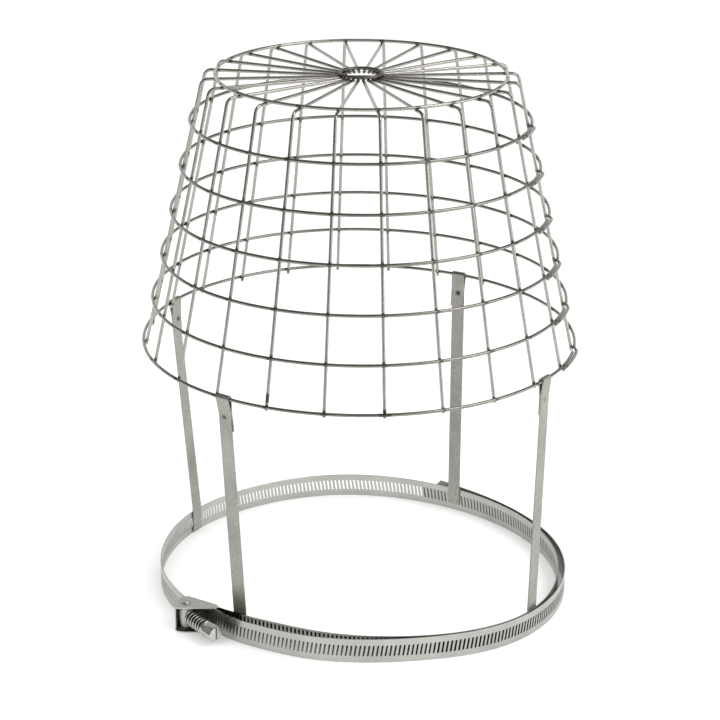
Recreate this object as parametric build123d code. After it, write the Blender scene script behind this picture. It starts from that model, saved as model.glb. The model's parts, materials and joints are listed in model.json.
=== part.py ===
from build123d import *
import math
import os

os.makedirs("parts", exist_ok=True)

# Driving dimensions, in millimetres and degrees. The cage stands upright round x = y = 0,
# with the clamp strip's lower edge on z = 0 and the front towards -Y.

# Wire cage
wire_size = 2.4
wire_sides = 6
wire_count = 24
first_wire = 6.5
weld_bite = 0.02
hoop_count = 6
hoop_sides = 48
hub_sides = 24
bottom_hoop_z = 198.5
top_hoop_drop = 30.2
bottom_hoop_radius = 159.8
side_taper = 12.65
corner_radius = 5.5
corner_chords = 3
wire_end_drop = 3.0
spoke_z = 394.2
top_ring_inset = 9.24
hub_ring_radius = 14.9
spoke_end_radius = 13.0
lap_wire = 23
lap_start = 4.2
lap_bend = 3.6
lap_end = 17.5
lap_gap = 0.35

# Clamp strip, whose loop is bent by hand and is not round, as azimuths and radii
strip_thickness = 0.7
strip_height = 18.4
slot_pitch = 3.175
slot_width = 1.5
slot_height = 8.6
slot_lean = 12
slots_per_flat = 4
first_slot_azimuth = 68
slotted_flat_count = 42
weld_seat = 0.003
tail_chamfer = 4.0
inner_loop = [(227.6, 136.3), (243, 131.7), (262, 134.0), (280, 139.3), (300, 149.4), (320, 158.5)]
inner_loop += [(345, 156.5), (10, 151.8), (35, 146.4), (65, 143.9), (95, 147.0), (125, 148.0)]
inner_loop += [(155, 150.8), (185, 151.4), (205, 150.0)]
tail_loop = [(227, 142.5), (238, 141.4), (255, 141.5), (272, 142.3), (290, 146.5), (310, 156.8), (330, 161.7)]
tail_loop += [(350, 160.5), (12, 155.2), (35, 149.2), (52, 148.8), (69, 157.0)]

# Legs: each one's place on the bottom hoop, its place in the clamp, and its foot's height
legs = {
    "leg_front_left": (234.3, 230.5, 6.0),
    "leg_front_right": (325.6, 324.4, 6.0),
    "leg_back_right": (60.0, 56.3, 6.0),
    "leg_back_left": (153.7, 150.0, 1.0),
}
leg_width = 10.5
leg_thickness = 1.0
leg_bend_z = 21.0
fold_length = 12.0
fold_gap = 0.2
fold_tail = 26.0
fold_chords = 6

# Screw housing, measured along the strip and outwards from the housing's inner face
housing_place = (-121.8, -80.7)
housing_turn = -31
sheet = 0.9
housing_start = -3.0
housing_length = 22.1
top_cheek = [(housing_start, 0), (-8.2, 3.4), (-2.2, 19.4), (0.5, 19.9), (23.7, 5.3), (25.2, 2.4)]
top_cheek += [(housing_length, 0)]
bottom_cheek = [(-8.2, 3.4), (-2.2, 19.4), (0.8, 20.8), (5.2, 19.2), (17.5, 11.8), (8, 3.8)]
cheek_room = 0.1
strip_gap = 0.3
weld_start = 1.0
weld_end = 14.0
free_start = -1.0
free_end = 14.0
strip_ease = 0.4
tail_ease = 0.6
pivot_along = 1.2
pivot_out = 10.0

# Saddle, rivets and worm screw, measured along the screw from its pivot
rest_swing = 20
saddle_radius = 5.0
saddle_front = 4.0
saddle_play = 0.3
rivet_radius = 1.5
rivet_reach = 3.2
rivet_head_radius = 2.6
rivet_head_height = 1.1
rivet_head_bevel = 0.6
running_gap = 0.05
journal_radius = 2.0
journal_end = -2.4
worm_radius = 5.4
worm_start = 4.4
worm_end = 24.0
neck_radius = 3.8
collar_radius = 6.0
collar_start = 25.0
hex_start = 27.4
hex_flats = 10.8
screw_end = 38.5
driver_slot_width = 1.4
driver_slot_depth = 2.4

steel = (0.72, 0.71, 0.68)
UP = Vector(0, 0, 1)


def polar(azimuth, radius, z=0):
    turn = math.radians(azimuth)
    return Vector(radius * math.cos(turn), radius * math.sin(turn), z)


def save(solid, name):
    solid.label = name
    solid.color = Color(*steel)
    export_step(solid, f"parts/{name}.step")


# A wire's section is a hexagon of the round wire's area, since a true round costs many times the facets
def wire_section(turn=0):
    return RegularPolygon(wire_size / 2, wire_sides, major_radius=False, rotation=turn)


def side_radius(z):
    reach = (wire_size - weld_bite) / math.cos(math.radians(side_taper))
    rise = (z - bottom_hoop_z) * math.tan(math.radians(side_taper))
    return bottom_hoop_radius - reach - rise


# One bent wire: a spoke under the top rings, a corner rounded in chords, and a slanted side inside the hoops
def bent_wire():
    end_z = bottom_hoop_z - wire_end_drop
    course = FilletPolyline(
        (spoke_end_radius, 0, spoke_z),
        (side_radius(spoke_z), 0, spoke_z),
        (side_radius(end_z), 0, end_z),
        radius=corner_radius,
    )
    bend = course.edges().filter_by(GeomType.CIRCLE)[0]
    corner = sorted([bend @ (i / corner_chords) for i in range(corner_chords + 1)], key=lambda p: -p.Z)
    path = Polyline(course @ 0, *corner, course @ 1)
    start = Plane(origin=path @ 0, x_dir=(0, 1, 0), z_dir=(1, 0, 0))
    return sweep(start * wire_section(), path, transition=Transition.RIGHT)


# A side hoop is one wire rolled clockwise past its own start, so that its ends lie side by side
def lapped_hoop(radius, z):
    step = 360 / hoop_sides
    last_weld = first_wire + lap_wire * 360 / wire_count
    outer_radius = radius + wire_size + lap_gap
    start = polar(last_weld - lap_start, radius, z)
    corners = [start]
    for i in range(1, hoop_sides + 1):
        corners.append(polar(last_weld - i * step, radius, z))
    corners.append(polar(last_weld - lap_bend, outer_radius, z))
    for i in range(1, math.ceil(lap_end / step)):
        corners.append(polar(last_weld - i * step, outer_radius, z))
    corners.append(polar(last_weld - lap_end, outer_radius, z))
    path = Polyline(*corners)
    start_plane = Plane(origin=start, x_dir=start - UP * z, z_dir=path % 0)
    flat_inwards = 180 / wire_sides + side_taper
    return sweep(start_plane * wire_section(flat_inwards), path, transition=Transition.RIGHT)


# The two top rings are closed and lie flat on the spokes
def closed_ring(radius, z, sides):
    corners = [polar(first_wire + i * 360 / sides, radius, z) for i in range(sides)]
    path = Polyline(*corners, close=True)
    start = Plane(origin=path @ 0, x_dir=corners[0] - UP * z, z_dir=path % 0)
    return sweep(start * wire_section(), path, transition=Transition.RIGHT)


# Places in the housing's frame, measured along the strip and outwards
housing_plane = Plane(
    origin=(*housing_place, 0),
    x_dir=polar(housing_turn, 1),
    z_dir=UP,
)


def at_housing(along, out, z=0):
    return housing_plane.from_local_coords(Vector(along, -out, z))


# The strip's course: its fixed end flat on the housing, once round the loop, back through the
# housing outside itself, and on as the sprung tail
def strip_course():
    fixed_out = sheet + strip_thickness / 2 - weld_seat
    free_out = fixed_out + strip_thickness + strip_gap
    fixed_part = Line(at_housing(weld_start, fixed_out), at_housing(weld_end, fixed_out))
    free_part = Line(at_housing(free_start, free_out), at_housing(free_end, free_out))
    along = housing_plane.x_dir
    loop = Spline(
        fixed_part @ 1,
        *[polar(azimuth, radius) for azimuth, radius in inner_loop],
        free_part @ 0,
        tangents=(along, along),
        tangent_scalars=(strip_ease, strip_ease),
    )
    tail = Spline(
        free_part @ 1,
        *[polar(azimuth, radius) for azimuth, radius in tail_loop],
        tangents=(along, tail_direction()),
        tangent_scalars=(strip_ease, tail_ease),
    )
    return Wire([fixed_part.edge(), loop.edge(), free_part.edge(), tail.edge()])


def tail_direction():
    (azimuth_a, radius_a), (azimuth_b, radius_b) = tail_loop[-2:]
    return (polar(azimuth_b, radius_b) - polar(azimuth_a, radius_a)).normalized()


# The course as short straight flats, each a whole number of slots long
def flat_corners(course):
    flat = slot_pitch * slots_per_flat
    count = int(course.length // flat)
    return [course.position_at(i * flat / course.length) for i in range(count + 1)]


def outward_normals(corners):
    normals = []
    for i in range(len(corners)):
        before = corners[max(i - 1, 0)]
        after = corners[min(i + 1, len(corners) - 1)]
        normals.append((after - before).normalized().cross(UP))
    return normals


# One leaning slot's cutter, square to the flat that it pierces
def slot_cutter(middle, along):
    lean = slot_height / 2 * math.tan(math.radians(slot_lean))
    side = slot_width / 2
    top = slot_height / 2
    outline = Polygon(
        (-side - lean, -top), (side - lean, -top), (side + lean, top), (-side + lean, top), align=None
    )
    face = Plane(origin=middle, x_dir=along, z_dir=along.cross(UP)) * outline
    return extrude(face, amount=2 * strip_thickness, both=True)


# The whole strip, pierced round the back, through the housing and along the front of the tail
def clamp_strip(corners):
    normals = outward_normals(corners)
    half = strip_thickness / 2
    outer = [p + n * half for p, n in zip(corners, normals)]
    inner = [p - n * half for p, n in zip(corners, normals)]
    strip = extrude(make_face(Polyline(*outer, *reversed(inner), close=True)), strip_height)
    azimuths = [math.degrees(math.atan2(p.Y, p.X)) for p in corners]
    first = next(i for i, azimuth in enumerate(azimuths) if azimuth > first_slot_azimuth)
    cutters = []
    for a, b in zip(corners[first:first + slotted_flat_count], corners[first + 1:]):
        along = (b - a).normalized()
        for i in range(slots_per_flat):
            middle = a + along * slot_pitch * (i + 0.5) + UP * strip_height / 2
            cutters.append(slot_cutter(middle, along))
    strip = strip - cutters
    end = corners[-1]
    tail_edges = [edge for edge in strip.edges().filter_by(GeomType.LINE) if is_tail_corner(edge, end)]
    return chamfer(tail_edges, tail_chamfer)


def is_tail_corner(edge, end):
    middle = edge.center()
    near = (Vector(middle.X, middle.Y, 0) - end).length < strip_thickness / 4
    return near and edge.length < 2 * strip_thickness


# Where a strap as wide as a leg sits against the inside of the strip at an azimuth
def seat_in_clamp(corners, azimuth):
    normals = outward_normals(corners)
    first_turn = int(2 * math.pi * tail_loop[0][1] // (slot_pitch * slots_per_flat))
    inner = [p - n * strip_thickness / 2 for p, n in zip(corners[:first_turn], normals)]
    face = Polyline(*inner)
    wanted = polar(azimuth, 1)
    steps = int(face.length)
    best = max(range(steps), key=lambda i: (face.position_at(i / steps)).normalized().dot(wanted))
    reach = leg_width / 2 / face.length
    left = face.position_at(best / steps - reach)
    right = face.position_at(best / steps + reach)
    return (left + right) * 0.5, (right - left).normalized()


# The hoop's straight side at an azimuth: its middle line's place there and its direction
def hoop_side(azimuth):
    step = 360 / hoop_sides
    middle = first_wire + (math.floor((azimuth - first_wire) / step) + 0.5) * step
    inner_radius = bottom_hoop_radius * math.cos(math.radians(step / 2))
    radius = inner_radius / math.cos(math.radians(azimuth - middle))
    return polar(azimuth, radius, bottom_hoop_z), polar(middle + 90, 1)


# One strap leg: folded over the bottom hoop, spot-welded to itself, and welded inside the strip
def leg(corners, top_azimuth, foot_azimuth, foot_z):
    seat, along_strip = seat_in_clamp(corners, foot_azimuth)
    hoop_middle, along_hoop = hoop_side(top_azimuth)
    inwards = along_strip.cross(UP) * -1
    foot_middle = seat + inwards * (leg_thickness / 2 - weld_bite)
    foot_plane = Plane(origin=foot_middle, x_dir=along_strip, z_dir=UP)
    outline = Rectangle(leg_width, leg_thickness)
    foot = extrude(foot_plane.offset(foot_z) * outline, leg_bend_z - foot_z)

    rise = hoop_middle - foot_middle - UP * leg_bend_z
    rise = (rise - along_hoop * rise.dot(along_hoop)).normalized()
    outwards = along_hoop.cross(rise)
    fold_plane = Plane(origin=hoop_middle, x_dir=outwards, z_dir=-along_hoop)
    fold = extrude(fold_plane * fold_outline(), leg_width / 2, both=True)
    strap_top = Plane(origin=hoop_middle - rise * fold_length, x_dir=along_hoop, z_dir=rise)
    strap_outline = Rectangle(leg_width - 2 * weld_bite, leg_thickness - 2 * weld_bite)
    strap_top = strap_top.offset(leg_thickness / 2) * Pos(0, -leg_thickness / 2) * strap_outline
    strap_bottom = foot_plane.offset(leg_bend_z - weld_bite) * strap_outline
    strap = loft([strap_bottom.face(), strap_top.face()], ruled=True)
    return foot + strap + fold


# The fold's profile, outwards from the hoop's middle and up along the leg: it closes under the hoop
# and ends in a tail that lies inside the strap
def fold_outline():
    reach = wire_size / 2 / math.cos(math.pi / wire_sides) - weld_bite
    outside = over_hoop(reach + leg_thickness)
    outside += [(-leg_thickness - fold_gap, -fold_length), (-leg_thickness - fold_gap, -fold_tail)]
    outside += [(-fold_gap, -fold_tail), (-fold_gap, -fold_length), (leg_thickness, -fold_length)]
    inside = over_hoop(reach) + [(0, -fold_length + leg_thickness)]
    return Polygon(*outside, align=None) - Polygon(*inside, align=None)


# Half a turn over the hoop in chords that touch the circle, from its outer side to its inner side
def over_hoop(radius):
    step = math.pi / fold_chords
    reach = radius / math.cos(step / 2)
    corners = [(radius, 0)]
    for i in range(fold_chords):
        turn = (i + 0.5) * step
        corners.append((reach * math.cos(turn), reach * math.sin(turn)))
    return corners + [(-radius, 0)]


def housing_outline(points):
    return housing_plane * Polygon(*[(along, -out) for along, out in points], align=None)


# The housing: a plate inside the strip, a cheek over and under the screw, and the wall that joins them
def screw_housing():
    cheek_z = strip_height + cheek_room
    back_plate = [(housing_start, 0), (housing_start, sheet), (housing_length, sheet), (housing_length, 0)]
    (start_along, start_out), (end_along, end_out) = top_cheek[1:3]
    wall_length = math.hypot(end_along - start_along, end_out - start_out)
    step_along = sheet * (end_out - start_out) / wall_length
    step_out = -sheet * (end_along - start_along) / wall_length
    wall = [
        (start_along, start_out),
        (end_along, end_out),
        (end_along + step_along, end_out + step_out),
        (start_along + step_along, start_out + step_out),
    ]
    housing = extrude(housing_outline(back_plate), cheek_z + sheet)
    housing += extrude(housing_outline(wall), cheek_z + sheet)
    housing += Pos(0, 0, cheek_z) * extrude(housing_outline(top_cheek), sheet)
    housing += extrude(housing_outline(bottom_cheek), sheet)
    return housing - Pos(*pivot) * Cylinder(rivet_radius, 3 * strip_height)


pivot = at_housing(pivot_along, pivot_out)
axis_z = strip_height / 2
screw_direction = polar(housing_turn - rest_swing, 1)
screw_plane = Plane(origin=pivot + UP * axis_z, x_dir=UP.cross(screw_direction), z_dir=screw_direction)


# The rivets are the saddle's trunnions, one in each cheek, short enough to leave the screw free
def top_rivet():
    cheek_z = strip_height + cheek_room
    foot_z = cheek_z - saddle_play - rivet_reach
    length = cheek_z + sheet - foot_z
    shank = Pos(pivot.X, pivot.Y, foot_z + length / 2) * Cylinder(rivet_radius, length)
    head = Cylinder(rivet_head_radius, rivet_head_height)
    head = chamfer(head.edges().group_by(Axis.Z)[-1], rivet_head_bevel)
    return shank + Pos(pivot.X, pivot.Y, cheek_z + sheet + rivet_head_height / 2) * head


def bottom_rivet():
    length = sheet + saddle_play + rivet_reach
    return Pos(pivot.X, pivot.Y, length / 2) * Cylinder(rivet_radius, length)


# The saddle is a half barrel that turns on the rivets and holds the screw's journal
def screw_saddle():
    low = sheet + saddle_play
    high = strip_height + cheek_room - saddle_play
    barrel = Pos(pivot.X, pivot.Y, (low + high) / 2) * Cylinder(saddle_radius, high - low)
    barrel = split(barrel, screw_plane.offset(saddle_front), keep=Keep.BOTTOM)
    hole_depth = rivet_reach + saddle_play
    hole = Cylinder(rivet_radius + running_gap, hole_depth)
    barrel -= Pos(pivot.X, pivot.Y, low + hole_depth / 2) * hole
    barrel -= Pos(pivot.X, pivot.Y, high - hole_depth / 2) * hole
    bore = Circle(journal_radius + running_gap)
    return barrel - extrude(screw_plane.offset(journal_end - saddle_play) * bore, saddle_radius * 2)


# The worm screw without its thread: journal, worm, neck, collar and slotted hexagon head
def worm_screw():
    steps = [
        (journal_end, worm_start, Circle(journal_radius)),
        (worm_start, worm_end, Circle(worm_radius)),
        (worm_end, collar_start, Circle(neck_radius)),
        (collar_start, hex_start, Circle(collar_radius)),
        (hex_start, screw_end, RegularPolygon(hex_flats / 2, 6, major_radius=False)),
    ]
    screw = None
    for start, end, outline in steps:
        piece = extrude(screw_plane.offset(start) * outline, end - start)
        screw = piece if screw is None else screw + piece
    slot = Rectangle(driver_slot_width, 2 * hex_flats)
    return screw - extrude(screw_plane.offset(screw_end - driver_slot_depth) * slot, 2 * driver_slot_depth)


wire = bent_wire()
for i in range(wire_count):
    save(Rot(0, 0, first_wire + i * 360 / wire_count) * wire, f"cage_wire_{i + 1:02d}")

hoop_pitch = (spoke_z - top_hoop_drop - bottom_hoop_z) / (hoop_count - 1)
for i in range(hoop_count):
    z = bottom_hoop_z + i * hoop_pitch
    radius = bottom_hoop_radius - i * hoop_pitch * math.tan(math.radians(side_taper))
    save(lapped_hoop(radius, z), f"side_hoop_{i + 1}")

ring_z = spoke_z + wire_size - weld_bite
save(closed_ring(side_radius(spoke_z) - top_ring_inset, ring_z, hoop_sides), "top_ring")
save(closed_ring(hub_ring_radius, ring_z, hub_sides), "hub_ring")

strip_corners = flat_corners(strip_course())
save(clamp_strip(strip_corners), "clamp_strip")
for name, (top_azimuth, foot_azimuth, foot_z) in legs.items():
    save(leg(strip_corners, top_azimuth, foot_azimuth, foot_z), name)

save(screw_housing(), "screw_housing")
save(top_rivet(), "top_rivet")
save(bottom_rivet(), "bottom_rivet")
save(screw_saddle(), "screw_saddle")
save(worm_screw(), "worm_screw")
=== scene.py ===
import bmesh
import bpy
import json
import math
from mathutils import Matrix, Vector


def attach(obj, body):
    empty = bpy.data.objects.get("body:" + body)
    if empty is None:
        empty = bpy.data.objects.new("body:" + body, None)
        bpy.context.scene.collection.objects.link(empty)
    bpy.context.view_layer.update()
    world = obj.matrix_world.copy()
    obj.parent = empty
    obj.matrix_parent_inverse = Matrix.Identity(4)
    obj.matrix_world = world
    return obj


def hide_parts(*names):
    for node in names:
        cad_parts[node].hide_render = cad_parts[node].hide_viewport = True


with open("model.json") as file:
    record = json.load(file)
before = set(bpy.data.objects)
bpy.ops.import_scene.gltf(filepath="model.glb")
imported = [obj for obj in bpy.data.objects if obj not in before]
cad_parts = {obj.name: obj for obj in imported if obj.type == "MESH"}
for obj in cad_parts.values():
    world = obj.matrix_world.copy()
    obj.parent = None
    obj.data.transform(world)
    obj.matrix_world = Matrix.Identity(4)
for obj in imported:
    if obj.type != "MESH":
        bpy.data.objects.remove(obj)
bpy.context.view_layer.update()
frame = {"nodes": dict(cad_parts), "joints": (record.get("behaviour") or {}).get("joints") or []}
nodes = frame["nodes"]
UP = Vector((0, 0, 1))
MM = 0.001

# The cage's sizes, as in the part's source, in millimetres and degrees
wire_radius = 1.2
wire_count = 24
first_wire = 6.5
hoop_count = 6
hoop_pitch = 33.1
bottom_hoop_z = 198.5
bottom_hoop_radius = 159.8
side_taper = math.radians(12.65)
corner_radius = 5.5
wire_end_drop = 3.0
spoke_z = 394.2
spoke_start = 13.0
top_ring_radius = 104.2
hub_ring_radius = 14.9
ring_z = spoke_z + 2 * wire_radius
last_weld = first_wire + 345
lap_lead = 4.2
lap_bend = 3.6
lap_end = 17.5
lap_gap = 0.35
# Dark burns on two wires, each as its azimuth and its lower and upper end
burns = [(246.5, 200, 208.5), (276.5, 196, 203)]


def polar(azimuth, radius, z=0.0):
    turn = math.radians(azimuth)
    return Vector((radius * math.cos(turn), radius * math.sin(turn), z))


# Shader helpers
class Nodes:
    def __init__(self, name):
        self.material = bpy.data.materials.new(name)
        self.material.use_nodes = True
        self.tree = self.material.node_tree
        self.shader = self.tree.nodes["Principled BSDF"]

    def add(self, kind, **settings):
        node = self.tree.nodes.new(kind)
        for key, value in settings.items():
            setattr(node, key, value)
        return node

    def link(self, value, socket):
        if isinstance(value, bpy.types.NodeSocket):
            self.tree.links.new(value, socket)
        else:
            socket.default_value = value

    def math(self, operation, a, b=0.0, clamp=False):
        node = self.add("ShaderNodeMath", operation=operation, use_clamp=clamp)
        self.link(a, node.inputs[0])
        self.link(b, node.inputs[1])
        return node.outputs[0]

    def ramp(self, value, low, high, low_out=0.0, high_out=1.0):
        node = self.add("ShaderNodeMapRange", interpolation_type="SMOOTHSTEP")
        self.link(value, node.inputs["Value"])
        for key, number in (("From Min", low), ("From Max", high), ("To Min", low_out), ("To Max", high_out)):
            self.link(number, node.inputs[key])
        return node.outputs["Result"]

    def mix(self, share, a, b):
        node = self.add("ShaderNodeMix", data_type="RGBA")
        self.link(share, node.inputs["Factor"])
        self.link(a, node.inputs["A"])
        self.link(b, node.inputs["B"])
        return node.outputs["Result"]

    def place(self, kind="Object"):
        return self.add("ShaderNodeTexCoord").outputs[kind]

    def scaled(self, vector, scale):
        node = self.add("ShaderNodeMapping")
        self.link(vector, node.inputs["Vector"])
        node.inputs["Scale"].default_value = scale
        return node.outputs["Vector"]

    def noise(self, vector, scale, detail=3.0, roughness=0.5):
        node = self.add("ShaderNodeTexNoise")
        self.link(vector, node.inputs["Vector"])
        node.inputs["Scale"].default_value = scale
        node.inputs["Detail"].default_value = detail
        node.inputs["Roughness"].default_value = roughness
        return node.outputs["Fac"]

    def bump(self, height, distance, strength=1.0):
        node = self.add("ShaderNodeBump")
        node.inputs["Distance"].default_value = distance
        node.inputs["Strength"].default_value = strength
        self.link(height, node.inputs["Height"])
        self.link(node.outputs["Normal"], self.shader.inputs["Normal"])

    def axes(self, vector):
        node = self.add("ShaderNodeSeparateXYZ")
        self.link(vector, node.inputs[0])
        return node.outputs


# Heat marks round the welds: 1 at a crossing of wires, 0 a few millimetres away
def weld_mark(m):
    x, y, z = m.axes(m.place())
    flat = m.add("ShaderNodeCombineXYZ")
    m.link(x, flat.inputs[0])
    m.link(y, flat.inputs[1])
    length = m.add("ShaderNodeVectorMath", operation="LENGTH")
    m.link(flat.outputs[0], length.inputs[0])
    radius = length.outputs["Value"]
    turn = m.math("MULTIPLY", m.math("ARCTAN2", y, x), wire_count / (2 * math.pi))
    turn = m.math("SUBTRACT", turn, first_wire * wire_count / 360)
    nearest = m.math("ROUND", turn)
    aside = m.math("ABSOLUTE", m.math("SUBTRACT", turn, nearest))
    aside = m.math("MULTIPLY", m.math("MULTIPLY", aside, 2 * math.pi / wire_count), radius)
    level = m.math("DIVIDE", m.math("SUBTRACT", z, bottom_hoop_z * MM), hoop_pitch * MM)
    hoop = m.math("MINIMUM", m.math("ROUND", level), hoop_count - 1.0)
    rise = m.math("MULTIPLY", m.math("ABSOLUTE", m.math("SUBTRACT", level, hoop)), hoop_pitch * MM)
    to_top = m.math("ABSOLUTE", m.math("SUBTRACT", radius, top_ring_radius * MM))
    to_hub = m.math("ABSOLUTE", m.math("SUBTRACT", radius, hub_ring_radius * MM))
    on_top = m.math("GREATER_THAN", z, 0.388)
    inwards = m.math("MINIMUM", to_top, to_hub)
    on_side = m.math("SUBTRACT", 1.0, on_top)
    other = m.math("ADD", m.math("MULTIPLY", rise, on_side), m.math("MULTIPLY", inwards, on_top))
    square = m.math("ADD", m.math("MULTIPLY", aside, aside), m.math("MULTIPLY", other, other))
    distance = m.math("SQRT", square)
    cell = m.add("ShaderNodeCombineXYZ")
    m.link(nearest, cell.inputs[0])
    m.link(hoop, cell.inputs[1])
    random = m.add("ShaderNodeTexWhiteNoise")
    m.link(cell.outputs[0], random.inputs["Vector"])
    reach = m.math("ADD", m.math("MULTIPLY", random.outputs["Value"], 0.0014), 0.0016)
    speckle = m.math("MULTIPLY", m.math("SUBTRACT", m.noise(m.place(), 900.0), 0.5), 0.0012)
    distance = m.math("ADD", distance, speckle)
    welds = m.math("MULTIPLY", m.ramp(m.math("DIVIDE", distance, reach), 1.15, 0.35), 0.8)
    for azimuth, low, high in burns:
        spot = polar(azimuth, bottom_hoop_radius - 3) * MM
        away = m.add("ShaderNodeVectorMath", operation="DISTANCE")
        m.link(flat.outputs[0], away.inputs[0])
        away.inputs[1].default_value = spot
        near = m.ramp(away.outputs["Value"], 0.007, 0.005)
        jag = m.math("ADD", z, m.math("MULTIPLY", m.math("SUBTRACT", m.noise(m.place(), 600.0), 0.5), 0.003))
        above = m.ramp(jag, low * MM, (low + 2) * MM)
        span = m.math("MULTIPLY", above, m.ramp(jag, high * MM, (high - 2) * MM))
        welds = m.math("MAXIMUM", welds, m.math("MULTIPLY", near, span))
    hub = m.ramp(m.math("ADD", radius, m.math("MULTIPLY", speckle, 2.0)), 0.021, 0.015)
    return m.math("MAXIMUM", welds, m.math("MULTIPLY", m.math("MULTIPLY", hub, on_top), 0.75))


# A steel with fine streaks and broad clouds in its tone, and marks laid over it in turn,
# each as a function that gives its share and a colour
def steel(name, colour, roughness, marks=(), streak=None, grain=(1, 1, 1), contrast=0.12, metallic=1.0):
    m = Nodes(name)
    where = m.place("UV") if streak == "UV" else m.place()
    fine = m.noise(m.scaled(where, grain), 1.0, 4.0, 0.6)
    broad = m.noise(m.place(), 38.0, 2.0)
    dark = [c * (1 - contrast) for c in colour] + [1]
    light = [min(c * (1 + contrast), 1) for c in colour] + [1]
    tone = m.math("ADD", m.math("MULTIPLY", fine, 0.65), m.math("MULTIPLY", broad, 0.35))
    base = m.mix(m.ramp(tone, 0.36, 0.64), dark, light)
    rough = m.ramp(tone, 0.3, 0.7, roughness * 0.85, roughness * 1.2)
    for mark, mark_colour in marks:
        share = mark(m)
        base = m.mix(share, base, mark_colour)
        rough = m.math("ADD", rough, m.math("MULTIPLY", share, 0.25))
    m.link(base, m.shader.inputs["Base Color"])
    m.link(rough, m.shader.inputs["Roughness"])
    m.shader.inputs["Metallic"].default_value = metallic
    m.bump(fine, 0.00003)
    return m.material


# How near a place is to a point in metres: 1 inside the inner distance, 0 outside the outer one
def near(m, point, inner, outer, scale=(1, 1, 1), ragged=0.0, speckle=260.0):
    away = m.add("ShaderNodeVectorMath", operation="DISTANCE")
    m.link(m.scaled(m.place(), scale), away.inputs[0])
    away.inputs[1].default_value = [a * b for a, b in zip(point, scale)]
    distance = away.outputs["Value"]
    if ragged:
        rough = m.math("SUBTRACT", m.noise(m.place(), speckle, 4.0, 0.6), 0.5)
        distance = m.math("ADD", distance, m.math("MULTIPLY", rough, ragged))
    return m.ramp(distance, outer, inner)


def highest(m, values):
    total = values[0]
    for value in values[1:]:
        total = m.math("MAXIMUM", total, value)
    return total


# Each strap leg's middle line, from its bend to the hoop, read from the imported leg
leg_names = ("leg_front_left", "leg_front_right", "leg_back_right", "leg_back_left")


def leg_line(name):
    places = [v.co for v in nodes[name].data.vertices]
    peak = max(p.z for p in places)
    foot = min(p.z for p in places)
    top = [p for p in places if p.z > peak - 0.0015]
    bend = [p for p in places if abs(p.z - 0.021) < 0.0006]
    base = [p for p in places if p.z < foot + 0.0005]
    return tuple(sum(group, Vector()) / len(group) for group in (top, bend or base, base))


leg_lines = {name: leg_line(name) for name in leg_names}


# The dark dot of each leg's spot weld, under its fold, which is faint on the front right leg
def spot_welds(m):
    values = []
    for name, (top, bend, base) in leg_lines.items():
        rise = (top - bend).normalized()
        dot = near(m, top - rise * 0.0167, 0.0008, 0.0031, ragged=0.0014)
        values.append(m.math("MULTIPLY", dot, 0.35 if name == "leg_front_right" else 1.0))
    return highest(m, values)


# The feet darker, a little brown, round where they are welded inside the strip
def foot_darkening(m):
    values = []
    for name, reach in (("leg_front_left", 0.027), ("leg_front_right", 0.009)):
        top, bend, base = leg_lines[name]
        values.append(near(m, base + UP * 0.006, reach * 0.4, reach, (1, 1, 0.8), 0.015))
    return highest(m, values)


# The hoops are the same wire as the rest, written darker to meet the photograph's tones
weld_brown = (0.09, 0.078, 0.06, 1)
# Near-black for the painted shade in the gap behind the strip's tail
deep_gap_black = (0.035, 0.031, 0.025, 1)
wire_marks = [(weld_mark, weld_brown)]
wire_grain = (700, 700, 700)
wire_steel = steel("wire_steel", (0.39, 0.382, 0.352), 0.2, wire_marks, grain=wire_grain, contrast=0.16)
# Painted shade: the hoops' steel is a darker copy of the wire steel, for the darker light they show
shaded_hoop_steel = steel("shaded_hoop_steel", (0.27, 0.264, 0.24), 0.2, wire_marks, grain=wire_grain, contrast=0.16)
leg_marks = [(spot_welds, (0.05, 0.045, 0.036, 1)), (foot_darkening, (0.23, 0.218, 0.19, 1))]
leg_grain = (1000, 1000, 380)
leg_steel = steel("leg_steel", (0.352, 0.347, 0.318), 0.42, leg_marks, grain=leg_grain, contrast=0.19)


def dress(node, material):
    slots = nodes[node].data.materials
    slots.clear()
    slots.append(material)


def bevel(node, width):
    modifier = nodes[node].modifiers.new("edge", "BEVEL")
    modifier.width = width
    modifier.segments = 2
    modifier.limit_method = "ANGLE"
    modifier.angle_limit = math.radians(40)
    modifier.harden_normals = False


def piece(name, mesh_builder, body, material, replaces=(), smooth=True, angle=40):
    mesh = bpy.data.meshes.new(name)
    mesh_builder.to_mesh(mesh)
    mesh_builder.free()
    obj = bpy.data.objects.new(name, mesh)
    bpy.context.scene.collection.objects.link(obj)
    mesh.materials.append(material)
    if smooth:
        mesh.shade_smooth()
        mesh.set_sharp_from_angle(angle=math.radians(angle))
    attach(obj, body)
    if replaces:
        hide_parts(*replaces)
    return obj


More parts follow.
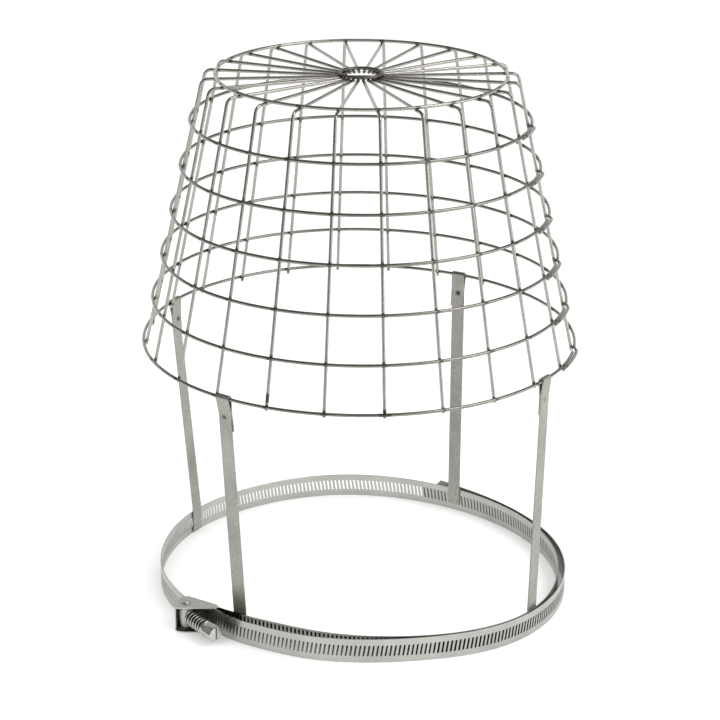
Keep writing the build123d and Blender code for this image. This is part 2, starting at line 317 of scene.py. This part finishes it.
# A round wire through points in millimetres, with the turn-free frame carried along it
def tube(points, radius=wire_radius, closed=False, sides=14):
    bm = bmesh.new()
    count = len(points)
    rings = []
    side = None
    for i, p in enumerate(points):
        if closed:
            ahead = points[(i + 1) % count] - points[i - 1]
        else:
            ahead = points[min(i + 1, count - 1)] - points[max(i - 1, 0)]
        ahead = ahead.normalized()
        if side is None:
            side = UP.cross(ahead)
            side = side.normalized() if side.length > 0.1 else Vector((1, 0, 0))
        side = (side - ahead * side.dot(ahead)).normalized()
        other = ahead.cross(side)
        sizes = [radius]
        if not closed and i in (0, count - 1):
            sizes = [radius * 0.82, radius] if i == 0 else [radius, radius * 0.82]
        for k, size in enumerate(sizes):
            shift = Vector()
            if len(sizes) == 2:
                outwards = ahead * (-1 if i == 0 else 1)
                inner = k == 1 if i == 0 else k == 0
                shift = outwards * (-0.25 if inner else 0.0)
            ring = []
            for j in range(sides):
                turn = 2 * math.pi * j / sides
                spoke = (side * math.cos(turn) + other * math.sin(turn)) * size
                ring.append(bm.verts.new((p + shift + spoke) * MM))
            rings.append(ring)
    pairs = list(zip(rings, rings[1:] + rings[:1])) if closed else list(zip(rings, rings[1:]))
    for a, b in pairs:
        for j in range(sides):
            bm.faces.new((a[j], b[j], b[j - 1], a[j - 1]))
    if not closed:
        bm.faces.new(rings[0])
        bm.faces.new(list(reversed(rings[-1])))
    bmesh.ops.recalc_face_normals(bm, faces=bm.faces)
    return bm


def side_radius(z):
    inside_hoop = bottom_hoop_radius - 2 * wire_radius / math.cos(side_taper)
    return inside_hoop - (z - bottom_hoop_z) * math.tan(side_taper)


# One bent wire's line: along the spoke, round the corner and down the side
def bent_line(azimuth):
    corner = side_radius(spoke_z)
    end_z = bottom_hoop_z - wire_end_drop
    bend = math.pi / 2 - side_taper
    reach = corner_radius * math.tan(bend / 2)
    centre_r = corner - reach
    centre_z = spoke_z - corner_radius
    line = [(spoke_start + (centre_r - spoke_start) * i / 6, spoke_z) for i in range(6)]
    for i in range(11):
        turn = bend * i / 10
        line.append((centre_r + corner_radius * math.sin(turn), centre_z + corner_radius * math.cos(turn)))
    start_r, start_z = line[-1]
    for i in range(1, 9):
        z = start_z + (end_z - start_z) * i / 8
        line.append((start_r + (side_radius(end_z) - start_r) * i / 8, z))
    return [polar(azimuth, r, z) for r, z in line]


def circle(radius, z, count):
    return [polar(first_wire + 360 * i / count, radius, z) for i in range(count)]


# A hoop's line, clockwise from its inner end to its outer end, which laps past the start
def lapped_line(radius, z):
    line = []
    outer = 2 * wire_radius + lap_gap
    azimuth = last_weld - lap_lead
    step = 1.25
    for i in range(289):
        line.append(polar(azimuth - i * step, radius, z))
        if azimuth - i * step <= last_weld - 360 + 0.01:
            break
    for share in (0.25, 0.5, 0.75, 1.0):
        smooth = share * share * (3 - 2 * share)
        line.append(polar(last_weld - lap_bend * share, radius + outer * smooth, z))
    for i in range(1, 13):
        line.append(polar(last_weld - lap_bend - (lap_end - lap_bend) * i / 12, radius + outer, z))
    return line


for i in range(wire_count):
    line = bent_line(first_wire + 360 * i / wire_count)
    piece(f"round_wire_{i + 1:02d}", tube(line), "cap", wire_steel, [f"cage_wire_{i + 1:02d}"])
for i in range(hoop_count):
    radius = bottom_hoop_radius - i * hoop_pitch * math.tan(side_taper)
    line = lapped_line(radius, bottom_hoop_z + i * hoop_pitch)
    piece(f"round_hoop_{i + 1}", tube(line), "cap", shaded_hoop_steel, [f"side_hoop_{i + 1}"])
for name, radius, count in (("top_ring", top_ring_radius, 192), ("hub_ring", hub_ring_radius, 64)):
    line = circle(radius, ring_z, count)
    piece(f"round_{name}", tube(line, closed=True), "cap", wire_steel, [name])

# The clamp strip: its flats' corners come from the imported strip; its slots are pierced from where the tail
# ends round to the tail's last flat, and the covered stretch's slots are painted near-black as painted shade
strip_height = 18.4
strip_half = 0.35
slot_pitch = 3.175
slots_per_flat = 4
slot_width = 1.32
slot_height = 8.6
slot_lean = math.tan(math.radians(8.5))
first_slot_azimuth = 68
plain_cells = 8
rim_width = 0.13
tail_length = 360


def strip_corners():
    bm = bmesh.new()
    bm.from_mesh(nodes["clamp_strip"].data)
    bmesh.ops.remove_doubles(bm, verts=bm.verts, dist=1e-6)
    low = {v for v in bm.verts if v.co.z < 1e-5}
    ring = {v: [] for v in low}
    for e in bm.edges:
        a, b = e.verts
        if a in low and b in low and sum(all(v in low for v in f.verts) for f in e.link_faces) == 1:
            ring[a].append(b)
            ring[b].append(a)
    ring = {v: n for v, n in ring.items() if len(n) == 2}
    ends = []
    for v, near in ring.items():
        for n in near:
            if (v.co - n.co).length < 0.0009 and v.index < n.index:
                ends.append((v, n))
    ends.sort(key=lambda pair: (pair[0].co - Vector((-0.12, -0.083, 0))).length)
    walks = []
    for start, other in (ends[0], ends[0][::-1]):
        walk = [start]
        before, here = other, start
        while True:
            ahead = [n for n in ring[here] if n is not before]
            if not ahead or ahead[0] in (ends[-1][0], ends[-1][1]) and here in (ends[-1][0], ends[-1][1]):
                break
            before, here = here, ahead[0]
            walk.append(here)
        walks.append([v.co.copy() / MM for v in walk])
    bm.free()
    count = min(len(w) for w in walks)
    middle = [(a + b) / 2 for a, b in zip(walks[0][:count], walks[1][:count])]
    flat = (middle[1] - middle[0]).length
    middle[-1] = middle[-2] + (middle[-1] - middle[-2]).normalized() * flat
    return middle


def smooth_point(corners, i, t):
    a, b, c, d = (corners[max(0, min(len(corners) - 1, i + k))] for k in (-1, 0, 1, 2))
    if i == 0:
        a = b * 2 - c
    if i == len(corners) - 2:
        d = c * 2 - b
    bend = 2 * a - 5 * b + 4 * c - d
    twist = 3 * b - a - 3 * c + d
    return 0.5 * (2 * b + (c - a) * t + bend * t * t + twist * t ** 3)


def lean(height):
    return max(-slot_height / 2, min(slot_height / 2, height - strip_height / 2)) * slot_lean


corners = strip_corners()
cell_total = (len(corners) - 1) * slots_per_flat
flat_azimuths = [math.degrees(math.atan2(p.y, p.x)) for p in corners]
first_flat = next(i for i, azimuth in enumerate(flat_azimuths) if azimuth > first_slot_azimuth)
before, after = flat_azimuths[first_flat - 1:first_flat + 1]
past = (first_slot_azimuth - before) / (after - before)
first_cell = (first_flat - 1) * slots_per_flat + round(past * slots_per_flat)
covered_end = first_cell * slot_pitch * MM


# Near the housing the painted covered teeth come almost up to the strip's edge
teeth_top = 17.2


# How far a place on the strip is from its nearest slot's middle line, as a share of the pitch, and
# its height over the middle of the strip
def slot_place(m, half):
    u, v, w = m.axes(m.place("UV"))
    height = m.math("SUBTRACT", v, strip_height * MM / 2)
    leaning = m.math("MULTIPLY", m.math("MAXIMUM", m.math("MINIMUM", height, half), -half), slot_lean)
    cell = m.math("DIVIDE", m.math("SUBTRACT", u, leaning), slot_pitch * MM)
    aside = m.math("ABSOLUTE", m.math("SUBTRACT", m.math("FRACT", cell), 0.5))
    return u, height, aside


# The covered stretch's slots, painted near-black instead of pierced, as painted shade for the dark seen
# through them; they show as dark teeth over the tail's edge and faintly from inside
def covered_slot_shade(m):
    half = slot_height * MM / 2
    u, height, aside = slot_place(m, half)
    side = slot_width / slot_pitch / 2 + 0.02
    share = m.ramp(aside, side + 0.03, side - 0.03)
    top = m.ramp(u, 0.155, 0.185, (teeth_top - strip_height / 2) * MM, half)
    share = m.math("MULTIPLY", share, m.math("LESS_THAN", height, top))
    share = m.math("MULTIPLY", share, m.math("GREATER_THAN", height, -half))
    share = m.math("MULTIPLY", share, m.ramp(u, 0.30, 0.42, 1.0, 0.68))
    share = m.math("MULTIPLY", share, m.math("LESS_THAN", u, covered_end))
    return m.math("MULTIPLY", share, m.math("GREATER_THAN", u, plain_cells * slot_pitch * MM))


# Painted shade: the covered stretch is written near-black in the narrow gap behind the tail, most of all near
# the front left foot
def deep_gap_shade(m):
    u, v, w = m.axes(m.place("UV"))
    blotch = m.math("MULTIPLY", m.math("SUBTRACT", m.noise(m.place(), 160.0, 4.0), 0.5), 0.004)
    along = m.math("ADD", u, blotch)
    return m.math("MULTIPLY", m.ramp(along, 0.016, 0.022), m.ramp(along, 0.046, 0.041))


# 1 on the strip's outer face
def outwards(m):
    facing = m.add("ShaderNodeVectorMath", operation="DOT_PRODUCT")
    m.link(m.add("ShaderNodeNewGeometry").outputs["Normal"], facing.inputs[0])
    m.link(m.place(), facing.inputs[1])
    return m.math("GREATER_THAN", facing.outputs["Value"], 0.03)


# The shade between the two layers, seen through the tail's slots
def gap_shade(m):
    u, v, w = m.axes(m.place("UV"))
    share = m.math("MULTIPLY", m.ramp(u, 0.03, 0.04), m.ramp(u, 0.36, 0.31))
    level = m.math("ADD", v, m.ramp(u, 0.16, 0.11, 0.0, 0.001))
    foot = m.ramp(u, 0.12, 0.2, 0.3, 1.0)
    middle = m.math("MULTIPLY", m.ramp(v, 0.006, 0.009, foot, 1.0), m.ramp(level, 0.0148, 0.0134))
    return m.math("MULTIPLY", m.math("MULTIPLY", share, middle), outwards(m))


# The covered layer's upper edge beside the front left foot, written pale because the lamps leave it
# darker there than the photograph shows
# Painted light: a pale colour laid on the covered layer's upper edge
def painted_light_edge(m):
    u, v, w = m.axes(m.place("UV"))
    share = m.math("MULTIPLY", m.ramp(u, 0.042, 0.048), m.ramp(u, 0.17, 0.12))
    return m.math("MULTIPLY", m.math("MULTIPLY", share, m.ramp(v, 0.0122, 0.0138)), outwards(m))


# A dark rim round each of the tail's slots: painted shade that widens the dark seen in the slots
def slot_shade_rims(m):
    half = (slot_height / 2 + 0.1) * MM
    u, height, aside = slot_place(m, half)
    within = m.math("LESS_THAN", m.math("ABSOLUTE", height), half)
    share = m.math("MULTIPLY", m.math("LESS_THAN", aside, (slot_width / 2 + rim_width) / slot_pitch), within)
    on_tail = m.math("GREATER_THAN", u, (cell_total * slot_pitch - tail_length) * MM)
    share = m.math("MULTIPLY", share, on_tail)
    return m.math("MULTIPLY", m.math("MULTIPLY", share, outwards(m)), 0.85)


# Painted shadow of the housing and screw on the tail beside the screw, stronger towards the top, with a
# ragged edge
def tail_shadow(m):
    x, y, z = m.axes(m.place())
    patch = near(m, (-0.0945, -0.1095, 0.0125), 0.004, 0.0145, (1, 1, 1.1), 0.03, 520.0)
    return m.math("MULTIPLY", patch, m.ramp(z, 0.006, 0.011, 0.35, 1.0))


strip_marks = [
    (gap_shade, (0.05, 0.047, 0.042, 1)),
    (painted_light_edge, (0.86, 0.84, 0.79, 1)),
    (deep_gap_shade, deep_gap_black),
    (tail_shadow, (0.15, 0.142, 0.128, 1)),
    (slot_shade_rims, (0.05, 0.045, 0.038, 1)),
    (covered_slot_shade, (0.006, 0.006, 0.005, 1)),
]
strip_grain = (420, 1900, 1)
strip_colour = (0.47, 0.465, 0.44)
strip_steel = steel("strip_steel", strip_colour, 0.34, strip_marks, "UV", grain=strip_grain, contrast=0.13)


# A place on the strip, by distance along it, height and side
def on_strip(along, height, out):
    share = max(0.0, min(along / (slot_pitch * slots_per_flat), len(corners) - 1 - 1e-6))
    i = int(share)
    p = smooth_point(corners, i, share - i)
    q = smooth_point(corners, i, share - i + 0.01)
    normal = (q - p).normalized().cross(UP)
    return (p + normal * out + UP * height) * MM


def strip_mesh():
    bm = bmesh.new()
    layer = bm.loops.layers.uv.new("UVMap")
    found = {}
    uv = {}

    def vertex(along, height, out):
        key = (round(along, 3), round(height, 3), round(out, 3))
        if key not in found:
            found[key] = bm.verts.new(on_strip(along, height, out))
            uv[found[key]] = (along * MM, height * MM)
        return found[key]

    def face(points):
        verts = [vertex(*p) for p in points]
        if len(set(verts)) < 3:
            return
        made = bm.faces.new([v for k, v in enumerate(verts) if v not in verts[:k]])
        for loop in made.loops:
            loop[layer].uv = uv[loop.vert]

    middle = strip_height / 2
    low, high = middle - slot_height / 2, middle + slot_height / 2
    margin = (slot_pitch - slot_width) / 2
    soft = 0.4
    border = 0.6
    rounding = 0.12
    tail_cut = 4.0
    left, right = margin, slot_pitch - margin
    hole = [(left + soft, low), (right - soft, low), (right, low + soft), (right, high - soft)]
    hole += [(right - soft, high), (left + soft, high), (left, high - soft), (left, low + soft)]
    around = [(0, low - border), (slot_pitch, low - border), (slot_pitch, low + soft)]
    around += [(slot_pitch, high - soft), (slot_pitch, high + border), (0, high + border)]
    around += [(0, high - soft), (0, low + soft)]
    end = cell_total * slot_pitch
    for cell in range(cell_total):
        x0 = cell * slot_pitch
        pierced = first_cell <= cell < cell_total - slots_per_flat
        tail = cell >= cell_total - 2

        def at(s, height, out):
            along = x0 + s + lean(height)
            reach = end
            if tail:
                reach = end - max(0.0, tail_cut - height, height - (strip_height - tail_cut))
            return (min(max(along, 0.0), reach), height, out)

        def band(a, a_out, b, b_out):
            return [at(0, a, a_out), at(slot_pitch, a, a_out), at(slot_pitch, b, b_out), at(0, b, b_out)]

        for out in (strip_half, -strip_half):
            inset = out * 0.7
            faces = [
                band(0, inset, rounding, out),
                band(rounding, out, low - border, out),
                band(high + border, out, strip_height - rounding, out),
                band(strip_height - rounding, out, strip_height, inset),
            ]
            if pierced:
                for k in range(8):
                    n = (k + 1) % 8
                    faces.append([at(*p, out) for p in (around[k], around[n], hole[n], hole[k])])
            else:
                rows = [low - border, low + soft, high - soft, high + border]
                faces += [band(a, out, b, out) for a, b in zip(rows, rows[1:])]
            for points in faces:
                face(points if out > 0 else points[::-1])
        if pierced:
            for k in range(8):
                here, there = hole[k], hole[(k + 1) % 8]
                half = strip_half
                face([at(*here, half), at(*there, half), at(*there, -half), at(*here, -half)])
        edge = strip_half * 0.7
        face(band(0, -edge, 0, edge))
        face(band(strip_height, edge, strip_height, -edge))
    open_edges = [e for e in bm.edges if len(e.link_faces) == 1]
    bmesh.ops.holes_fill(bm, edges=open_edges, sides=0)
    bmesh.ops.recalc_face_normals(bm, faces=bm.faces)
    return bm


piece("pierced_strip", strip_mesh(), "cap", strip_steel, ["clamp_strip"], angle=30)

for name in leg_names:
    dress(name, leg_steel)
    bevel(name, 0.00015)

# The worm screw, with its thread, as a lathed form along the screw's own axis
joint = next(j for j in frame["joints"] if j["name"] == "screw_spin")
pivot = Vector(joint["pos_m"])
direction = Vector(joint["axis"]).normalized()
across = UP.cross(direction).normalized()
screw_frame = Matrix((
    (across.x, UP.x, direction.x, pivot.x),
    (across.y, UP.y, direction.y, pivot.y),
    (across.z, UP.z, direction.z, pivot.z),
    (0, 0, 0, 1),
))
worm_radius = 5.4
thread_depth = 1.25
housing_turn = math.radians(-31)
housing_along = Vector((math.cos(housing_turn), math.sin(housing_turn), 0))
cheek_z = 0.0185
sheet = 0.0009


# Painted shade on the housing's inner faces, in patches: under the top cheek, over the bottom one and inside
# the wall
def housing_inside_shade(m):
    shape = m.add("ShaderNodeNewGeometry")
    x, y, z = m.axes(m.place())
    nz = m.axes(shape.outputs["Normal"])[2]
    facing = m.add("ShaderNodeVectorMath", operation="DOT_PRODUCT")
    m.link(shape.outputs["Normal"], facing.inputs[0])
    facing.inputs[1].default_value = housing_along
    over_floor = m.math("GREATER_THAN", z, sheet - 0.0001)
    between = m.math("MULTIPLY", over_floor, m.math("LESS_THAN", z, cheek_z + 0.0001))
    wall = m.math("MULTIPLY", m.ramp(facing.outputs["Value"], 0.3, 0.6), m.ramp(x, -0.112, -0.116))
    under = m.math("LESS_THAN", nz, -0.5)
    over = m.math("MULTIPLY", m.math("GREATER_THAN", nz, 0.5), m.math("LESS_THAN", z, 0.004))
    share = m.math("MULTIPLY", between, highest(m, [wall, under, over]))
    patch = m.ramp(m.noise(m.place(), 240.0, 3.0), 0.35, 0.6, 0.75, 1.0)
    return m.math("MULTIPLY", share, patch)


# Painted shade in a ring round the top rivet's head
def rivet_shade(m):
    head = (pivot.x, pivot.y, 0.0195)
    return m.math("MULTIPLY", near(m, head, 0.002, 0.0046, (1, 1, 0.4), 0.004, 700.0), 0.7)


housing_marks = [(housing_inside_shade, (0.05, 0.046, 0.04, 1)), (rivet_shade, (0.2, 0.19, 0.17, 1))]
housing_grain = (500, 500, 500)
housing_colour = (0.6, 0.595, 0.56)
pale_colour = (0.62, 0.615, 0.58)
housing_steel = steel("housing_steel", housing_colour, 0.5, housing_marks, grain=housing_grain, metallic=0.75)
saddle_steel = steel("saddle_steel", pale_colour, 0.55, grain=(400, 400, 60), contrast=0.08, metallic=0.3)
rivet_steel = steel("rivet_steel", pale_colour, 0.26, grain=(800, 800, 800))
dressed = {"screw_housing": housing_steel, "bottom_rivet": rivet_steel, "top_rivet": rivet_steel}
for name, material in dressed.items():
    dress(name, material)
    bevel(name, 0.00012)


# Painted shade in the threaded part's grooves
def groove_shade(m):
    away = m.add("ShaderNodeVectorMath", operation="CROSS_PRODUCT")
    shift = m.add("ShaderNodeVectorMath", operation="SUBTRACT")
    m.link(m.place(), shift.inputs[0])
    shift.inputs[1].default_value = pivot
    m.link(shift.outputs[0], away.inputs[0])
    away.inputs[1].default_value = direction
    along = m.add("ShaderNodeVectorMath", operation="DOT_PRODUCT")
    m.link(shift.outputs[0], along.inputs[0])
    along.inputs[1].default_value = direction
    length = m.add("ShaderNodeVectorMath", operation="LENGTH")
    m.link(away.outputs[0], length.inputs[0])
    deep = m.ramp(length.outputs["Value"], (worm_radius - 0.35) * MM, (worm_radius - 0.95) * MM)
    return m.math("MULTIPLY", deep, m.ramp(along.outputs["Value"], 0.0252, 0.0245))


screw_marks = [(groove_shade, (0.025, 0.023, 0.02, 1))]
screw_grain = (900, 900, 900)
screw_steel = steel("screw_steel", (0.55, 0.54, 0.51), 0.24, screw_marks, grain=screw_grain, contrast=0.14)


# The saddle: a half barrel, a little rounded from end to end, with a flat front
def saddle_mesh():
    radius, crown, front, low, high = 5.0, 1.1, 4.0, 1.2, 18.2
    bm = bmesh.new()
    rings = []
    for i in range(25):
        t = 2 * i / 24 - 1
        z = (low + high) / 2 + (high - low) / 2 * math.sin(t * math.pi / 2)
        level = abs(z - (low + high) / 2) / ((high - low) / 2)
        r = radius - crown * level ** 2.4 - (0.25 if level > 0.999 else 0)
        open_turn = math.acos(min(1, front / r)) if r > front else 0.02
        ring = []
        for j in range(33):
            turn = open_turn + (2 * math.pi - 2 * open_turn) * j / 32
            place = direction * (r * math.cos(turn)) + across * (r * math.sin(turn))
            ring.append(bm.verts.new(pivot + place * MM + UP * (z * MM - pivot.z)))
        rings.append(ring)
    for a, b in zip(rings, rings[1:]):
        for j in range(33):
            bm.faces.new((a[j - 1], a[j], b[j], b[j - 1]))
    bm.faces.new(list(reversed(rings[0])))
    bm.faces.new(rings[-1])
    bmesh.ops.recalc_face_normals(bm, faces=bm.faces)
    return bm


piece("barrel_saddle", saddle_mesh(), "saddle", saddle_steel, ["screw_saddle"], angle=45)


def lathe(profile, sides=36, thread=None):
    bm = bmesh.new()
    rings = []
    for z, radius in profile:
        ring = []
        for j in range(sides):
            turn = 2 * math.pi * j / sides
            r = radius
            if thread and thread[0] <= z <= thread[1]:
                phase = (z / slot_pitch - j / sides) % 1.0
                ridge = max(0.0, 1 - abs(phase - 0.5) / 0.27)
                fade = min(1.0, (z - thread[0]) / 0.8, (thread[1] - z) / 0.8)
                r = worm_radius - thread_depth + thread_depth * min(1.0, ridge * 1.9) * fade
            ring.append(bm.verts.new(Vector((r * math.cos(turn), r * math.sin(turn), z)) * MM))
        rings.append(ring)
    for a, b in zip(rings, rings[1:]):
        for j in range(sides):
            bm.faces.new((a[j - 1], a[j], b[j], b[j - 1]))
    bm.faces.new(list(reversed(rings[0])))
    bm.faces.new(rings[-1])
    return bm


# A hexagon head's section at one height, whole or one side of the driver slot
def head_ring(flats, corner_cut, side=0, slot_half=0.7):
    ring = []
    for j in range(48):
        turn = 2 * math.pi * (j + 0.5) / 48
        wedge = turn % (math.pi / 3) - math.pi / 6
        r = min(flats / math.cos(wedge), flats / math.cos(math.pi / 6) - 0.12 - corner_cut)
        ring.append((r * math.cos(turn), r * math.sin(turn)))
    if side == 0:
        return ring
    kept = [(x, y) for j, (x, y) in enumerate(ring) if math.cos(2 * math.pi * (j + 0.5) / 48) * side > 0.2]
    kept.sort(key=lambda p: math.atan2(p[1], p[0] * side))
    reach = min(flats, max(y for x, y in ring))
    return [(side * slot_half, -reach)] + kept + [(side * slot_half, reach)]


def screw_mesh():
    worm_start, worm_end = 4.4, 24.0
    profile = [(-2.4, 1.7), (-2.1, 2.0), (worm_start - 0.01, 2.0), (worm_start, 3.9)]
    steps = 126
    length = worm_end - worm_start - 0.1
    profile += [(worm_start + 0.05 + length * i / steps, 4.4) for i in range(steps + 1)]
    # the neck, then the collar with its rounded edges
    profile += [(worm_end, 3.8), (25.0, 3.8)]
    profile += [(25.05, 5.7), (25.3, 6.0), (27.1, 6.0), (27.4, 5.7), (27.45, 5.0)]
    bm = lathe(profile, sides=40, thread=(worm_start, worm_end))
    # the hexagon head with its rounded corners, split by the driver slot at its end
    flats, start, end, slot_floor = 5.4, 27.4, 38.5, 36.1
    whole = [(start, 0.25), (start + 0.3, 0.0), (slot_floor, 0.0)]
    split = [(slot_floor, 0.0), (end - 1.0, 0.1), (end - 0.3, 0.5), (end, 1.0)]
    for side, levels in ((0, whole), (1, split), (-1, split)):
        rings = []
        for z, corner_cut in levels:
            shrink = 0.25 if z == end else 0.0
            places = head_ring(flats - shrink, corner_cut, side)
            rings.append([bm.verts.new(Vector((x, y, z)) * MM) for x, y in places])
        for a, b in zip(rings, rings[1:]):
            for j in range(len(a)):
                bm.faces.new((a[j - 1], a[j], b[j], b[j - 1]))
        bm.faces.new(list(reversed(rings[0])))
        bm.faces.new(rings[-1])
    bm.transform(screw_frame)
    bmesh.ops.recalc_face_normals(bm, faces=bm.faces)
    return bm


piece("threaded_screw", screw_mesh(), "screw", screw_steel, ["worm_screw"], angle=35)

# Camera, at the photograph's viewpoint
pitch, roll = 0.366771773, -0.008277148
ahead = Vector((0, math.cos(pitch), -math.sin(pitch)))
right = Vector((1, 0, 0))
down = ahead.cross(right)
cam_x = right * math.cos(roll) + down * math.sin(roll)
cam_y = -(down * math.cos(roll) - right * math.sin(roll))
cam_data = bpy.data.cameras.new("camera")
camera = bpy.data.objects.new("camera", cam_data)
bpy.context.scene.collection.objects.link(camera)
cam_data.sensor_width = 36
cam_data.lens = 36 * 2196.485 / 720
cam_data.clip_start = 0.1
cam_data.clip_end = 50
camera.matrix_world = Matrix((
    (cam_x.x, cam_y.x, -ahead.x, 0.000805),
    (cam_x.y, cam_y.y, -ahead.y, -1.53452),
    (cam_x.z, cam_y.z, -ahead.z, 0.76694),
    (0, 0, 0, 1),
))
bpy.context.scene.camera = camera

# Floor, world and lamps
floor_mesh = bpy.data.meshes.new("floor")
bm = bmesh.new()
bmesh.ops.create_grid(bm, x_segments=1, y_segments=1, size=12)
bm.to_mesh(floor_mesh)
bm.free()
floor = bpy.data.objects.new("floor", floor_mesh)
bpy.context.scene.collection.objects.link(floor)
floor.location.z = -0.0002
m = Nodes("floor_paper")
m.shader.inputs["Roughness"].default_value = 0.9
pulp = m.noise(m.place(), 90.0, 4.0, 0.6)
paper = m.mix(m.ramp(pulp, 0.3, 0.7), (0.925, 0.925, 0.92, 1), (0.945, 0.945, 0.94, 1))
m.link(paper, m.shader.inputs["Base Color"])
m.bump(pulp, 0.0001)
rays = m.add("ShaderNodeLightPath").outputs
seen = highest(m, [rays["Is Camera Ray"], rays["Is Glossy Ray"], rays["Is Transmission Ray"]])
m.shader.inputs["Emission Color"].default_value = (1, 1, 1, 1)
m.link(m.math("MULTIPLY", seen, 0.17), m.shader.inputs["Emission Strength"])
floor_mesh.materials.append(m.material)

world = bpy.data.worlds.new("studio")
bpy.context.scene.world = world
world.use_nodes = True
tree = world.node_tree
background = tree.nodes["Background"]
background.inputs["Color"].default_value = (1, 1, 1, 1)
rays = tree.nodes.new("ShaderNodeLightPath")
shown = tree.nodes.new("ShaderNodeMath")
shown.operation = "MAXIMUM"
tree.links.new(rays.outputs["Is Camera Ray"], shown.inputs[0])
tree.links.new(rays.outputs["Is Glossy Ray"], shown.inputs[1])
both = tree.nodes.new("ShaderNodeMath")
both.operation = "MAXIMUM"
tree.links.new(shown.outputs[0], both.inputs[0])
tree.links.new(rays.outputs["Is Transmission Ray"], both.inputs[1])
level = tree.nodes.new("ShaderNodeMapRange")
level.inputs["To Min"].default_value = 0.8
level.inputs["To Max"].default_value = 1.0
tree.links.new(both.outputs[0], level.inputs["Value"])
tree.links.new(level.outputs["Result"], background.inputs["Strength"])


def lamp(name, place, target, size, power):
    data = bpy.data.lights.new(name, "AREA")
    data.shape = "RECTANGLE"
    data.size, data.size_y = size
    data.energy = power
    obj = bpy.data.objects.new(name, data)
    bpy.context.scene.collection.objects.link(obj)
    obj.location = place
    obj.rotation_mode = "QUATERNION"
    obj.rotation_quaternion = (Vector(target) - Vector(place)).to_track_quat("-Z", "Y")
    return obj


# Dark cards, seen only in reflections, stand in for the dim room round the white table. They lie on a
# dome: each reaches from one azimuth to another and from a low to a high angle over the floor.
card_radius = 3.2
card_centre = 0.25
cards = ((95, 150, 26, 50), (150, 285, 1, 50), (285, 455, 24, 50), (95, 455, 50, 80))
card_mesh = bpy.data.meshes.new("dark_card")
bm = bmesh.new()
for first, last, low, high in cards:
    rows = []
    for k in range(5):
        lift = math.radians(low + (high - low) * k / 4)
        radius = card_radius * math.cos(lift)
        height = card_centre + card_radius * math.sin(lift)
        turns = [first + (last - first) * i / 36 for i in range(37)]
        rows.append([bm.verts.new(polar(turn, radius, height)) for turn in turns])
    for a, b in zip(rows, rows[1:]):
        for i in range(36):
            bm.faces.new((a[i], a[i + 1], b[i + 1], b[i]))
bm.to_mesh(card_mesh)
bm.free()
card = bpy.data.objects.new("dark_card", card_mesh)
bpy.context.scene.collection.objects.link(card)
m = Nodes("card_felt")
felt = m.mix(m.noise(m.place(), 60.0), (0.2, 0.195, 0.18, 1), (0.24, 0.235, 0.22, 1))
m.link(felt, m.shader.inputs["Base Color"])
m.shader.inputs["Roughness"].default_value = 1.0
m.bump(m.noise(m.place(), 200.0), 0.0005)
card_mesh.materials.append(m.material)
card.visible_camera = False
card.visible_diffuse = False
card.visible_shadow = False
card.visible_transmission = False

lamp("key", (1.6, -0.6, 2.2), (0, 0, 0.2), (1.6, 1.6), 26)
lamp("side", (2.3, -0.5, 0.7), (0, 0, 0.25), (1.7, 1.4), 8)
fill = lamp("fill", (-1.8, -1.4, 1.4), (0, 0, 0.2), (1.4, 1.4), 18)
fill.visible_glossy = False

bpy.context.scene.view_settings.view_transform = "Standard"
